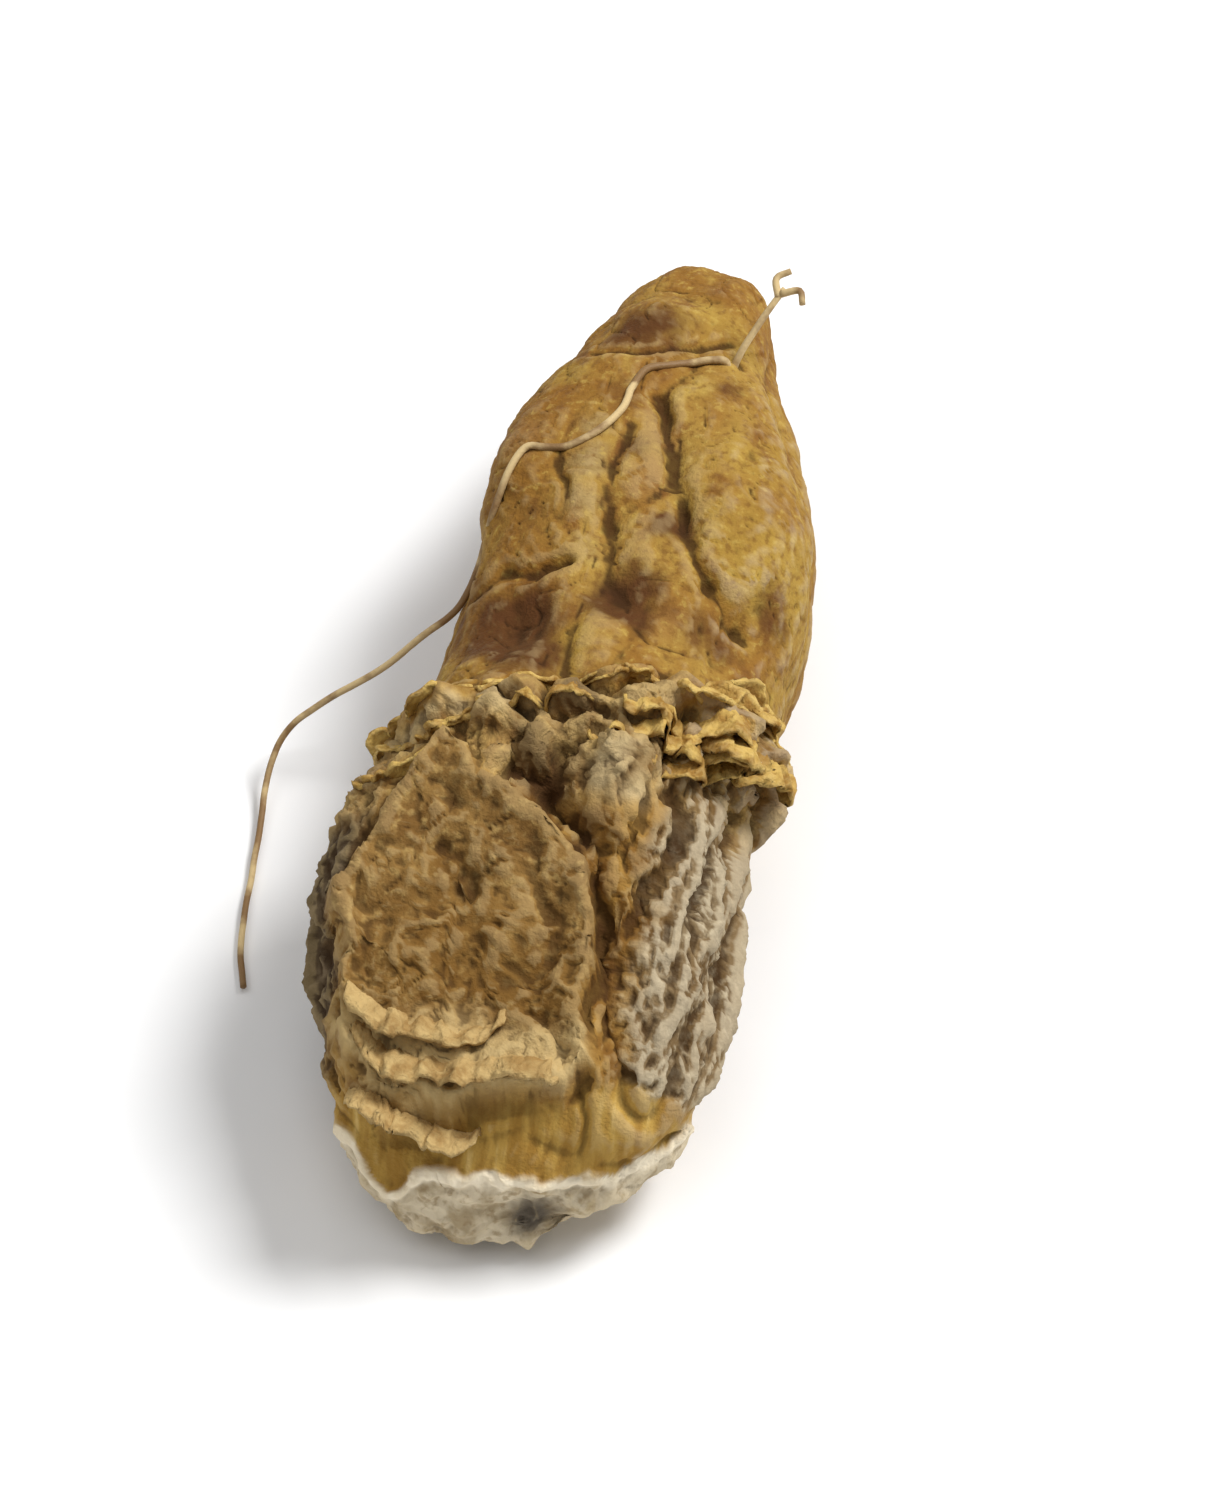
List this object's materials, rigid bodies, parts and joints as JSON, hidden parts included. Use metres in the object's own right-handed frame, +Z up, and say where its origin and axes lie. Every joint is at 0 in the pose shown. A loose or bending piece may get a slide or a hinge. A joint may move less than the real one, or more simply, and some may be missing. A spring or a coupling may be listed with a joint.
{
  "type": "solomons seal root",
  "caption": "Dried herbal rhizome with a raised round stem scar, wrinkled bark, a slanting cut end, a collar of torn tissue, a tapering younger segment and a thread-thin rootlet.",
  "frame": {"origin": "on the flat spot that the root rests on, under its middle", "axes": "+Y runs from the cut end to the tip of the younger segment, +Z is up, and the stem scar faces up. +X is on the side away from the trailing rootlet"},
  "size_m": [0.0208, 0.0433, 0.0136],
  "materials": {
    "dried_root": "matt, dry and wrinkled"
  },
  "bodies": {
    "root": {"root": "dried_root"}
  },
  "joints": []
}
